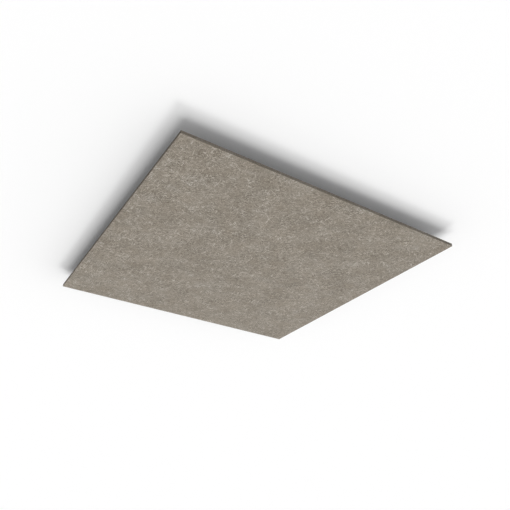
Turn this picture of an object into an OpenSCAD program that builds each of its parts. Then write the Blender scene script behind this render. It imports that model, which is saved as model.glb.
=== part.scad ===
// Suspended ceiling tile: one square board of pressed felt with square-cut edges.
// The show face looks down and the back looks up. The origin is the centre of the
// back, where the tile is fixed, and +Z points up to the ceiling.

/* [Board] */
// Length of each side of the square tile, in mm
tile_side = 1200; // [300:50:1500]
// Thickness of the felt, from show face to back, in mm
tile_thickness = 12; // [6:0.5:25]

/* [Cut edge] */
// Radius of the four corners, seen from below, in mm
corner_radius = 2; // [1:0.5:40]
// Radius that the knife leaves on the arris along each face, in mm
arris_radius = 0.5; // [0.2:0.1:0.9]

/* [Hidden] */
// Warm grey of the felt
felt_colour = [0.576, 0.547, 0.503];
// Straight stretch of each side, between its two rounded corners
straight_run = tile_side - 2 * corner_radius;
// Height of the plain cut between the two arrises
cut_height = tile_thickness - 2 * arris_radius;
$fn = 64;

// Upright section of the cut edge. It starts at the line where the corner turns and
// ends at the outer face, with a small quarter round at each arris.
module edge_section() {
    intersection() {
        square([corner_radius, tile_thickness]);
        union() {
            square([corner_radius - arris_radius, tile_thickness]);
            translate([0, arris_radius])
                square([corner_radius, cut_height]);
            for (level = [arris_radius, tile_thickness - arris_radius])
                translate([corner_radius - arris_radius, level])
                    circle(arris_radius);
        }
    }
}

// Flat middle of the board, as far as the straight edges
module board_middle() {
    translate([-straight_run / 2, -straight_run / 2, 0])
        cube([straight_run, straight_run, tile_thickness]);
}

// Cut edge along the +X side
module straight_edge() {
    translate([straight_run / 2, 0, 0])
        rotate([90, 0, 0])
            linear_extrude(straight_run, center = true)
                edge_section();
}

// Cut edge round the corner between the +X and +Y sides
module corner_edge() {
    translate([straight_run / 2, straight_run / 2, 0])
        rotate_extrude(angle = 90)
            edge_section();
}

// The whole tile, with its back at Z = 0 and its show face below
module felt_tile() {
    color(felt_colour)
        translate([0, 0, -tile_thickness])
            union() {
                board_middle();
                for (turn = [0:90:270])
                    rotate(turn) {
                        straight_edge();
                        corner_edge();
                    }
            }
}

felt_tile();
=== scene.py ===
"""Suspended ceiling tile: a square board of pressed melange felt, seen from below under a pale ceiling."""

import math
from collections import namedtuple

import bpy
import numpy as np
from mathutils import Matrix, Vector, noise


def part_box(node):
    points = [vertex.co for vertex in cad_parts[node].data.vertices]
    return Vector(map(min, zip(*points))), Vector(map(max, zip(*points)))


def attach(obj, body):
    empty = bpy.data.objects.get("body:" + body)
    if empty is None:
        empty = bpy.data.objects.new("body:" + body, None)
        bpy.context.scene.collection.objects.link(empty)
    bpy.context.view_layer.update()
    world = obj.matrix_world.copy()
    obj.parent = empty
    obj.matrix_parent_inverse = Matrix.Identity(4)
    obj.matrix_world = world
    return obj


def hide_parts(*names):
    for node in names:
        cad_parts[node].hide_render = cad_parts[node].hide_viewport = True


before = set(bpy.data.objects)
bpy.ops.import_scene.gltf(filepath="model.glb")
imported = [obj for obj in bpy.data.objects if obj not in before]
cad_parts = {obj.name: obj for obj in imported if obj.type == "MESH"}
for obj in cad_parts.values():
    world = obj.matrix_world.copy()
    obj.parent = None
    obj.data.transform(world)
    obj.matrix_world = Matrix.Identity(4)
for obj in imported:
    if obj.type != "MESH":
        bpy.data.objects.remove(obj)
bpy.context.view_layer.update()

# The board, from the frame. The back is at the top and the show face below.
TILE = "felt_tile"
tile_low, tile_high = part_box(TILE)
SIDE = tile_high.x - tile_low.x
BACK_Z = tile_high.z
FACE_Z = tile_low.z
MIDDLE_Z = (BACK_Z + FACE_Z) / 2
THICKNESS = BACK_Z - FACE_Z
CORNER_RADIUS = 0.002
ARRIS_RADIUS = 0.0005

# How finely the felt is meshed
FACE_CELLS = 205
EDGE_ROWS = 6
ARRIS_STEPS = 2
CORNER_STEPS = 4

# Points along a side of the flat grids, and where the show face and the cut edge start in the mesh
GRID = FACE_CELLS + 1
FACE_START = GRID * GRID
EDGE_START = 2 * GRID * GRID

# Relief of the felt: how deep, in metres, and over what length, the pressed surface dips
BROAD_DIP = 0.00022
BROAD_LENGTH = 0.040
TUFT_DIP = 0.00016
TUFT_LENGTH = 0.015
TUFT_SHIFT = Vector((31.0, 17.0, 5.0))

# The mesh's map, in shares of its width: one square for both faces, and beside it a strip for each cut edge
MAP_FACE = 0.93
MAP_BORDER = 0.004
MAP_STRIP = 0.0155

# The felt's tone runs from 0 to 1 along these colours. Each part of the melange shifts it from the base.
FELT_DARK = (0.121, 0.100, 0.074, 1.0)
FELT_MIDDLE = (0.276, 0.243, 0.198, 1.0)
FELT_LIGHT = (0.488, 0.450, 0.397, 1.0)
BASE_TONE = 0.420

# Soft changes of tone, from slow to fine: length in metres, octaves of detail, strength and seed
Drift = namedtuple("Drift", "length detail strength seed")
MOTTLE = Drift(length=0.110, detail=2.0, strength=0.42, seed=1.0)
CLUMPS = Drift(length=0.022, detail=2.0, strength=0.15, seed=2.0)
GRAIN = Drift(length=0.0024, detail=2.0, strength=0.66, seed=3.0)
NOISE_MIDDLE = 0.5

# Curled fibres, the sparse long strands and the fine ones. Light and dark are how far such a fibre shifts
# the tone. A fibre starts and is full at these levels of its noise, and covers this share of the board.
Fibre = namedtuple("Fibre", "length width curl_length curl_reach light dark start full share")
FIBRE_LAYERS = (
    Fibre(length=0.030, width=0.0020, curl_length=0.040, curl_reach=0.036,
          light=0.38, dark=0.10, start=0.63, full=0.76, share=0.045),
    Fibre(length=0.012, width=0.0013, curl_length=0.022, curl_reach=0.020,
          light=0.30, dark=0.24, start=0.56, full=0.74, share=0.10),
)
FIBRE_HEADINGS = 6
CURL_DETAIL = 2.0
CURL_SEED = 20.0
FIBRE_SEED = 30.0
FIBRE_SEED_STEP = 10.0

# Light fibres gather in patches: how large those are, and how strong a fibre is outside and inside them
GATHER_LENGTH = 0.040
GATHER_DETAIL = 2.0
GATHER_SEED = 4.0
GATHER_START = 0.35
GATHER_FULL = 0.65
GATHER_LEAST = 0.55
GATHER_MOST = 1.45

# The felt turns a little cooler or warmer from place to place
HUE_LENGTH = 0.060
HUE_DETAIL = 3.0
HUE_SEED = 5.0
HUE_COOL_END = 0.3
HUE_WARM_END = 0.7
COOL_TINT = (0.988, 1.0, 1.014, 1.0)
WARM_TINT = (1.012, 1.0, 0.986, 1.0)

# Finish: matt, with a faint sheen, roughest in the grain's hollows and raised where a fibre lies
ROUGH_MOST = 0.96
ROUGH_LEAST = 0.84
ROUGH_START = 0.3
ROUGH_END = 0.7
SPECULAR_LEVEL = 0.15
SHEEN_WEIGHT = 0.05
SHEEN_ROUGHNESS = 0.6
FIBRE_HEIGHT = 0.3
GRAIN_HEIGHT = 0.25
BUMP_STRENGTH = 0.5
BUMP_DEPTH = 0.0004

# The fibres lie a little more along one heading than across it, and are pressed flat through the thickness
LAY_HEADING = math.radians(-30.0)
LAY_STRETCH = 1.10
LAYER_SQUEEZE = 4.0

# Painted shade on the cut edges: their colour is this share of the faces' colour, darkened for the shade
# among the fibre ends. It changes over the arris, between these heights of the surface's normal.
CUT_EDGE_PAINTED_SHADE = 0.90
CUT_NORMAL = 0.2
FACE_NORMAL = 0.8

# The ceiling hangs over the back, a floor lies under the show face, and a dark flag lies just over the back
CEILING_GAP = 0.052
FLOOR_GAP = 0.001
FLAG_GAP = 0.001
STAGE_REACH = 20.0
PALE = (0.99, 0.99, 0.99, 1.0)
# The flag is a dark sheet, unseen by the camera, that deepens the shade on the ceiling over the gap
SHADE_FLAG_GREY = (0.03, 0.03, 0.03, 1.0)

# Wide soft lamps, two below the tile and one above it for the back. Direction points to the lamp, level 1
# shows a colour as it is written, and spread is the angle that the lamp fills.
Lamp = namedtuple("Lamp", "name direction level spread")
LAMPS = (
    Lamp("lamp_below", direction=(0.13, 0.185, -1.0), level=0.34, spread=0.81),
    Lamp("lamp_far", direction=(0.71, 0.86, -1.0), level=0.26, spread=0.29),
    Lamp("lamp_above", direction=(0.2, 0.25, 1.0), level=1.02, spread=0.60),
)
LAMP_DISTANCE = 3.0

# The room's light is strongest at the tile's height and falls off below. It is stronger from the +X side.
# Above the tile's height it fades to a small share.
WHITE = (1.0, 1.0, 1.0, 1.0)
BACKGROUND_WHITE = 0.97
ROOM_LEVEL = 2.66
ROOM_FALL = 0.35
ROOM_LEAN = 0.57
ROOM_FADE = 0.1
ROOM_ABOVE = 0.03

# The camera stands below the tile and looks up. Its place is in tile sides from the show face's middle.
CAMERA_PLACE = Vector((-0.9076, -1.4662, -0.9445))
CAMERA_HEADING = math.radians(32.947)
CAMERA_PITCH = math.radians(30.017)
CAMERA_SENSOR = 36.0
CAMERA_LENS = 39.075


class Graph:
    """Short calls for the nodes of one material or world."""

    def __init__(self, tree):
        self.tree = tree
        tree.nodes.clear()

    def node(self, kind, **settings):
        made = self.tree.nodes.new(kind)
        for name, value in settings.items():
            setattr(made, name, value)
        return made

    def feed(self, socket, value):
        if isinstance(value, bpy.types.NodeSocket):
            self.tree.links.new(value, socket)
        else:
            socket.default_value = value

    def math(self, operation, first, second=0.0):
        made = self.node("ShaderNodeMath", operation=operation)
        self.feed(made.inputs[0], first)
        self.feed(made.inputs[1], second)
        return made.outputs[0]

    def total(self, terms):
        added = terms[0]
        for term in terms[1:]:
            added = self.math("ADD", added, term)
        return added

    def centred(self, value, middle, strength):
        return self.math("MULTIPLY", self.math("SUBTRACT", value, middle), strength)

    def span(self, value, low, high, to_low, to_high):
        made = self.node("ShaderNodeMapRange", interpolation_type="SMOOTHSTEP")
        for name, given in (("Value", value), ("From Min", low), ("From Max", high),
                            ("To Min", to_low), ("To Max", to_high)):
            self.feed(made.inputs[name], given)
        return made.outputs["Result"]

    def noise(self, place, length, detail, seed, output="Fac"):
        made = self.node("ShaderNodeTexNoise", noise_dimensions="4D")
        self.feed(made.inputs["Vector"], place)
        self.feed(made.inputs["W"], seed)
        self.feed(made.inputs["Scale"], 1.0 / length)
        self.feed(made.inputs["Detail"], detail)
        return made.outputs[output]

    def ramp(self, value, first, last, between=()):
        """Colours along a value. Each stop is a position and a colour."""
        made = self.node("ShaderNodeValToRGB")
        stops = made.color_ramp.elements
        for stop, (position, colour) in zip(stops, (first, last)):
            stop.position = position
            stop.color = colour
        for position, colour in between:
            stops.new(position).color = colour
        self.feed(made.inputs["Fac"], value)
        return made.outputs["Color"]


def felt_dip(place):
    """Depth of the felt's surface under its nominal plane at a place on the board."""
    mirrored = Vector((place.x, place.y, abs(place.z - MIDDLE_Z)))
    broad = noise.noise(mirrored / BROAD_LENGTH)
    tuft = noise.noise(mirrored / TUFT_LENGTH + TUFT_SHIFT)
    return BROAD_DIP * (0.5 + 0.5 * broad) + TUFT_DIP * (0.5 + 0.5 * tuft)


def edge_profile():
    """Section of the cut edge, from the back to the show face: out, height and slope of its normal."""
    points = []
    flat = CORNER_RADIUS - ARRIS_RADIUS
    for step in range(ARRIS_STEPS + 1):
        turn = math.pi / 2 * (1 - step / ARRIS_STEPS)
        points.append((flat + ARRIS_RADIUS * math.cos(turn),
                       BACK_Z - ARRIS_RADIUS + ARRIS_RADIUS * math.sin(turn), turn))
    plain_cut = THICKNESS - 2 * ARRIS_RADIUS
    for row in range(1, EDGE_ROWS):
        points.append((CORNER_RADIUS, BACK_Z - ARRIS_RADIUS - plain_cut * row / EDGE_ROWS, 0.0))
    for step in range(ARRIS_STEPS + 1):
        turn = -math.pi / 2 * step / ARRIS_STEPS
        points.append((flat + ARRIS_RADIUS * math.cos(turn),
                       FACE_Z + ARRIS_RADIUS + ARRIS_RADIUS * math.sin(turn), turn))
    return points


def edge_columns():
    """Grid place and outward heading of each upright line of the edge, in turn round the board."""
    last = FACE_CELLS
    run = range(GRID)
    sides = (
        [(last, k) for k in run],
        [(last - k, last) for k in run],
        [(0, last - k) for k in run],
        [(k, 0) for k in run],
    )
    columns = []
    for number, places in enumerate(sides):
        heading = math.pi / 2 * number
        columns += [(place, heading) for place in places]
        for step in range(1, CORNER_STEPS):
            columns.append((places[-1], heading + math.pi / 2 * step / CORNER_STEPS))
    return columns


def board_places(profile, columns):
    """Places on the plain board and their outward normals: the back, the show face, then the edge."""
    reach = SIDE / 2 - CORNER_RADIUS
    ticks = np.linspace(-reach, reach, GRID)
    places = []
    normals = []
    for height, up in ((BACK_Z, 1.0), (FACE_Z, -1.0)):
        for x in ticks:
            for y in ticks:
                places.append(Vector((x, y, height)))
                normals.append(Vector((0.0, 0.0, up)))
    for (i, j), heading in columns:
        outward = Vector((math.cos(heading), math.sin(heading), 0.0))
        for out, height, turn in profile:
            places.append(Vector((ticks[i], ticks[j], height)) + outward * out)
            normals.append(outward * math.cos(turn) + Vector((0.0, 0.0, math.sin(turn))))
    return places, normals


def flat_polygons(columns, rows):
    """The back and the show face, each with the narrow border that joins its grid to the edge."""
    polygons = []
    for i in range(FACE_CELLS):
        for j in range(FACE_CELLS):
            square = (i * GRID + j, (i + 1) * GRID + j, (i + 1) * GRID + j + 1, i * GRID + j + 1)
            polygons.append(square)
            polygons.append(tuple(FACE_START + point for point in reversed(square)))
    rim = [i * GRID + j for (i, j), _ in columns]
    for number, back_here in enumerate(rim):
        after = (number + 1) % len(rim)
        back_there = rim[after]
        face_here = FACE_START + back_here
        face_there = FACE_START + back_there
        top_here = EDGE_START + number * rows
        top_there = EDGE_START + after * rows
        foot_here = top_here + rows - 1
        foot_there = top_there + rows - 1
        if back_here == back_there:
            polygons.append((back_here, top_here, top_there))
            polygons.append((face_here, foot_there, foot_here))
        else:
            polygons.append((back_here, top_here, top_there, back_there))
            polygons.append((face_here, face_there, foot_there, foot_here))
    return polygons


def flat_marks(polygons, places):
    """Place on the map of each corner of the flat polygons. Both faces share one square."""
    marks = []
    for polygon in polygons:
        for point in polygon:
            across = places[point].x / SIDE + 0.5
            along = places[point].y / SIDE + 0.5
            marks.append((MAP_BORDER + across * MAP_FACE, MAP_BORDER + along * MAP_FACE))
    return marks


def edge_polygons(profile, columns):
    """The cut edge, and the place on the map of each corner of its polygons, in a strip for each side."""
    polygons = []
    marks = []
    rows = len(profile)
    side_columns = len(columns) // 4
    for number in range(len(columns)):
        here = EDGE_START + number * rows
        there = EDGE_START + (number + 1) % len(columns) * rows
        strip, along = divmod(number, side_columns)
        level = 2 * MAP_BORDER + MAP_FACE + strip * MAP_STRIP
        for row in range(rows - 1):
            polygons.append((here + row, here + row + 1, there + row + 1, there + row))
            for step, down in ((0, row), (0, row + 1), (1, row + 1), (1, row)):
                drop = BACK_Z - profile[down][1]
                marks.append((MAP_BORDER + (along + step) / side_columns * MAP_FACE,
                              level + drop / SIDE * MAP_FACE))
    return polygons, marks


def felt_mesh():
    """The board as one closed mesh with the felt's relief and a map of its own."""
    profile = edge_profile()
    columns = edge_columns()
    places, normals = board_places(profile, columns)
    points = [place - normal * felt_dip(place) for place, normal in zip(places, normals)]
    flats = flat_polygons(columns, len(profile))
    edges, edge_marks = edge_polygons(profile, columns)
    polygons = flats + edges
    marks = flat_marks(flats, places) + edge_marks

    mesh = bpy.data.meshes.new(TILE + "_felt")
    mesh.from_pydata(points, [], polygons)
    layer = mesh.uv_layers.new(name="OFBake")
    layer.data.foreach_set("uv", np.array(marks, np.float32).ravel())
    mesh.polygons.foreach_set("use_smooth", np.ones(len(polygons), bool))
    mesh.validate()
    mesh.update()
    return mesh


def felt_place(graph):
    """Place in the felt, mirrored about the middle of the board, so both faces carry the same melange.

    The melange is stretched along the heading that most fibres lie along. It is squeezed through the
    thickness, because the fibres lie flat, so the cut edges show short layers.
    """
    coordinates = graph.node("ShaderNodeTexCoord")
    apart = graph.node("ShaderNodeSeparateXYZ")
    graph.feed(apart.inputs[0], coordinates.outputs["Object"])
    mirrored = graph.node("ShaderNodeCombineXYZ")
    graph.feed(mirrored.inputs["X"], apart.outputs["X"])
    graph.feed(mirrored.inputs["Y"], apart.outputs["Y"])
    depth = graph.math("ABSOLUTE", graph.math("SUBTRACT", apart.outputs["Z"], MIDDLE_Z))
    graph.feed(mirrored.inputs["Z"], depth)
    laid = graph.node("ShaderNodeMapping", vector_type="TEXTURE")
    graph.feed(laid.inputs["Vector"], mirrored.outputs[0])
    graph.feed(laid.inputs["Rotation"], (0.0, 0.0, LAY_HEADING))
    graph.feed(laid.inputs["Scale"], (LAY_STRETCH, 1.0 / LAY_STRETCH, 1.0 / LAYER_SQUEEZE))
    return laid.outputs[0]


def drift_noise(graph, place, drift):
    return graph.noise(place, drift.length, drift.detail, drift.seed)


def curled_place(graph, place, fibre, seed):
    """The place, shifted along the board by a slow noise, so that what is drawn there curls."""
    bend = graph.noise(place, fibre.curl_length, CURL_DETAIL, seed, output="Color")
    shift = graph.node("ShaderNodeVectorMath", operation="MULTIPLY_ADD")
    graph.feed(shift.inputs[0], bend)
    graph.feed(shift.inputs[1], (fibre.curl_reach, fibre.curl_reach, 0.0))
    graph.feed(shift.inputs[2], place)
    return shift.outputs[0]


def fibre_lines(graph, curl, turn, fibre, seed):
    """Fibres along one heading, before their curl: 1 on a fibre and 0 beside it."""
    along = graph.node("ShaderNodeMapping", vector_type="TEXTURE")
    graph.feed(along.inputs["Vector"], curl)
    graph.feed(along.inputs["Rotation"], (0.0, 0.0, turn))
    graph.feed(along.inputs["Scale"], (fibre.length, fibre.width, fibre.width))
    field = graph.noise(along.outputs[0], length=1.0, detail=0.0, seed=seed)
    return graph.span(field, fibre.start, fibre.full, 0.0, 1.0)


def felt_fibres(graph, place):
    """How each set of fibres shifts the tone, light and dark sets in turn, and how high it stands."""
    patches = graph.noise(place, GATHER_LENGTH, GATHER_DETAIL, GATHER_SEED)
    gathered = graph.span(patches, GATHER_START, GATHER_FULL, GATHER_LEAST, GATHER_MOST)
    shades = []
    heights = []
    for layer, fibre in enumerate(FIBRE_LAYERS):
        curl = curled_place(graph, place, fibre, CURL_SEED + layer)
        for step in range(FIBRE_HEADINGS):
            turn = math.pi * (step + 0.5 * layer) / FIBRE_HEADINGS
            lines = fibre_lines(graph, curl, turn, fibre, FIBRE_SEED + FIBRE_SEED_STEP * layer + step)
            if step % 2 == 0:
                light = graph.centred(lines, fibre.share, fibre.light)
                shades.append(graph.math("MULTIPLY", light, gathered))
            else:
                shades.append(graph.centred(lines, fibre.share, -fibre.dark))
            heights.append(graph.math("MULTIPLY", lines, FIBRE_HEIGHT))
    return shades, heights


def painted_edge_shade(graph):
    """Painted shade: the felt's colour in full on the faces and a little darker on the cut edges."""
    coordinates = graph.node("ShaderNodeTexCoord")
    normal = graph.node("ShaderNodeSeparateXYZ")
    graph.feed(normal.inputs[0], coordinates.outputs["Normal"])
    height = graph.math("ABSOLUTE", normal.outputs["Z"])
    return graph.span(height, CUT_NORMAL, FACE_NORMAL, CUT_EDGE_PAINTED_SHADE, 1.0)


def felt_colour(graph, place, tone):
    """The felt's colour at a tone, with its slow drift of hue and painted shade on its cut edges."""
    plain = graph.ramp(tone, (0.0, FELT_DARK), (1.0, FELT_LIGHT), between=[(0.5, FELT_MIDDLE)])
    warmth = graph.noise(place, HUE_LENGTH, HUE_DETAIL, HUE_SEED)
    hue = graph.ramp(warmth, (HUE_COOL_END, COOL_TINT), (HUE_WARM_END, WARM_TINT))
    tinted = graph.node("ShaderNodeVectorMath", operation="MULTIPLY")
    graph.feed(tinted.inputs[0], plain)
    graph.feed(tinted.inputs[1], hue)
    shaded = graph.node("ShaderNodeVectorMath", operation="SCALE")
    graph.feed(shaded.inputs[0], tinted.outputs[0])
    # Painted shade: the cut edges are darkened by the way the surface faces
    graph.feed(shaded.inputs["Scale"], painted_edge_shade(graph))
    return shaded.outputs[0]


def felt_material():
    """Pressed melange felt: mottled, with curled light and dark fibres and a fine relief."""
    material = bpy.data.materials.new("felt")
    material.use_nodes = True
    graph = Graph(material.node_tree)
    output = graph.node("ShaderNodeOutputMaterial")
    shader = graph.node("ShaderNodeBsdfPrincipled")
    graph.feed(output.inputs["Surface"], shader.outputs["BSDF"])

    place = felt_place(graph)
    mottle = drift_noise(graph, place, MOTTLE)
    clumps = drift_noise(graph, place, CLUMPS)
    grain = drift_noise(graph, place, GRAIN)
    soft_shades = [
        graph.centred(mottle, NOISE_MIDDLE, MOTTLE.strength),
        graph.centred(clumps, NOISE_MIDDLE, CLUMPS.strength),
        graph.centred(grain, NOISE_MIDDLE, GRAIN.strength),
    ]
    fibre_shades, fibre_heights = felt_fibres(graph, place)
    tone = graph.math("ADD", graph.total(soft_shades + fibre_shades), BASE_TONE)
    graph.feed(shader.inputs["Base Color"], felt_colour(graph, place, tone))

    roughness = graph.span(grain, ROUGH_START, ROUGH_END, ROUGH_MOST, ROUGH_LEAST)
    graph.feed(shader.inputs["Roughness"], roughness)
    shader.inputs["Specular IOR Level"].default_value = SPECULAR_LEVEL
    shader.inputs["Sheen Weight"].default_value = SHEEN_WEIGHT
    shader.inputs["Sheen Roughness"].default_value = SHEEN_ROUGHNESS

    bump = graph.node("ShaderNodeBump")
    bump.inputs["Strength"].default_value = BUMP_STRENGTH
    bump.inputs["Distance"].default_value = BUMP_DEPTH
    grain_height = graph.math("MULTIPLY", grain, GRAIN_HEIGHT)
    graph.feed(bump.inputs["Height"], graph.total([grain_height] + fibre_heights))
    graph.feed(shader.inputs["Normal"], bump.outputs["Normal"])
    return material


def build_tile():
    tile = bpy.data.objects.new(TILE + "_board", felt_mesh())
    bpy.context.scene.collection.objects.link(tile)
    tile.data.materials.append(felt_material())
    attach(tile, "root")
    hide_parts(TILE)


def one_way_material(name, colour):
    """Matt paint on the side that a surface faces, and nothing on its other side."""
    material = bpy.data.materials.new(name)
    material.use_nodes = True
    graph = Graph(material.node_tree)
    output = graph.node("ShaderNodeOutputMaterial")
    paint = graph.node("ShaderNodeBsdfDiffuse")
    paint.inputs["Color"].default_value = colour
    clear = graph.node("ShaderNodeBsdfTransparent")
    side = graph.node("ShaderNodeNewGeometry")
    mix = graph.node("ShaderNodeMixShader")
    graph.feed(mix.inputs[0], side.outputs["Backfacing"])
    graph.feed(mix.inputs[1], paint.outputs[0])
    graph.feed(mix.inputs[2], clear.outputs[0])
    graph.feed(output.inputs["Surface"], mix.outputs[0])
    return material


def build_plane(name, height, reach, faces_up, colour):
    """A square, level surface of the stage, painted on one side. It shades nothing from the lamps."""
    corners = [(-reach, -reach), (reach, -reach), (reach, reach), (-reach, reach)]
    if not faces_up:
        corners.reverse()
    mesh = bpy.data.meshes.new(name)
    mesh.from_pydata([(x, y, height) for x, y in corners], [], [(0, 1, 2, 3)])
    mesh.materials.append(one_way_material(name, colour))
    plane = bpy.data.objects.new(name, mesh)
    bpy.context.scene.collection.objects.link(plane)
    plane.visible_glossy = False
    plane.visible_transmission = False
    plane.visible_shadow = False
    return plane


def build_stage():
    """A pale ceiling and floor for the camera alone, and a flag that keeps the lit back off the ceiling."""
    ceiling = build_plane("ceiling", BACK_Z + CEILING_GAP, STAGE_REACH, False, PALE)
    ceiling.visible_diffuse = False
    floor = build_plane("floor", FACE_Z - FLOOR_GAP, STAGE_REACH, True, PALE)
    floor.visible_diffuse = False
    flag = build_plane("flag", BACK_Z + FLAG_GAP, SIDE / 2, True, SHADE_FLAG_GREY)
    flag.visible_camera = False


def build_lamps():
    for lamp in LAMPS:
        light = bpy.data.lights.new(lamp.name, "SUN")
        light.energy = lamp.level * math.pi
        light.angle = lamp.spread
        holder = bpy.data.objects.new(lamp.name, light)
        holder.rotation_mode = "QUATERNION"
        holder.rotation_quaternion = Vector(lamp.direction).to_track_quat("Z", "Y")
        holder.location = Vector(lamp.direction) * LAMP_DISTANCE
        bpy.context.scene.collection.objects.link(holder)


def build_world():
    """White to the camera. To the tile it is a room's soft light, from the walls more than the floor."""
    world = bpy.data.worlds.new("studio")
    bpy.context.scene.world = world
    world.use_nodes = True
    graph = Graph(world.node_tree)
    output = graph.node("ShaderNodeOutputWorld")
    white = graph.node("ShaderNodeBackground")
    white.inputs["Color"].default_value = WHITE
    white.inputs["Strength"].default_value = BACKGROUND_WHITE
    room = graph.node("ShaderNodeBackground")
    room.inputs["Color"].default_value = WHITE

    coordinates = graph.node("ShaderNodeTexCoord")
    apart = graph.node("ShaderNodeSeparateXYZ")
    graph.feed(apart.inputs[0], coordinates.outputs["Generated"])
    depth = graph.math("ABSOLUTE", apart.outputs["Z"])
    fall = graph.math("EXPONENT", graph.math("DIVIDE", depth, -ROOM_FALL))
    lean = graph.math("ADD", graph.math("MULTIPLY", apart.outputs["X"], ROOM_LEAN), 1.0)
    level = graph.span(apart.outputs["Z"], -ROOM_FADE, ROOM_FADE, ROOM_LEVEL, ROOM_LEVEL * ROOM_ABOVE)
    graph.feed(room.inputs["Strength"], graph.math("MULTIPLY", graph.math("MULTIPLY", fall, lean), level))

    rays = graph.node("ShaderNodeLightPath")
    glints = graph.math("MAXIMUM", rays.outputs["Is Glossy Ray"], rays.outputs["Is Transmission Ray"])
    shown = graph.math("MAXIMUM", rays.outputs["Is Camera Ray"], glints)
    mix = graph.node("ShaderNodeMixShader")
    graph.feed(mix.inputs[0], shown)
    graph.feed(mix.inputs[1], room.outputs[0])
    graph.feed(mix.inputs[2], white.outputs[0])
    graph.feed(output.inputs["Surface"], mix.outputs[0])


def build_camera():
    lens = bpy.data.cameras.new("camera")
    lens.sensor_width = CAMERA_SENSOR
    lens.lens = CAMERA_LENS
    holder = bpy.data.objects.new("camera", lens)
    holder.location = Vector((0.0, 0.0, FACE_Z)) + CAMERA_PLACE * SIDE
    gaze = Vector((math.sin(CAMERA_HEADING) * math.cos(CAMERA_PITCH),
                   math.cos(CAMERA_HEADING) * math.cos(CAMERA_PITCH),
                   math.sin(CAMERA_PITCH)))
    holder.rotation_mode = "QUATERNION"
    holder.rotation_quaternion = gaze.to_track_quat("-Z", "Y")
    bpy.context.scene.collection.objects.link(holder)
    bpy.context.scene.camera = holder


bpy.context.scene.view_settings.view_transform = "Standard"
build_lamps()
build_tile()
build_stage()
build_world()
build_camera()
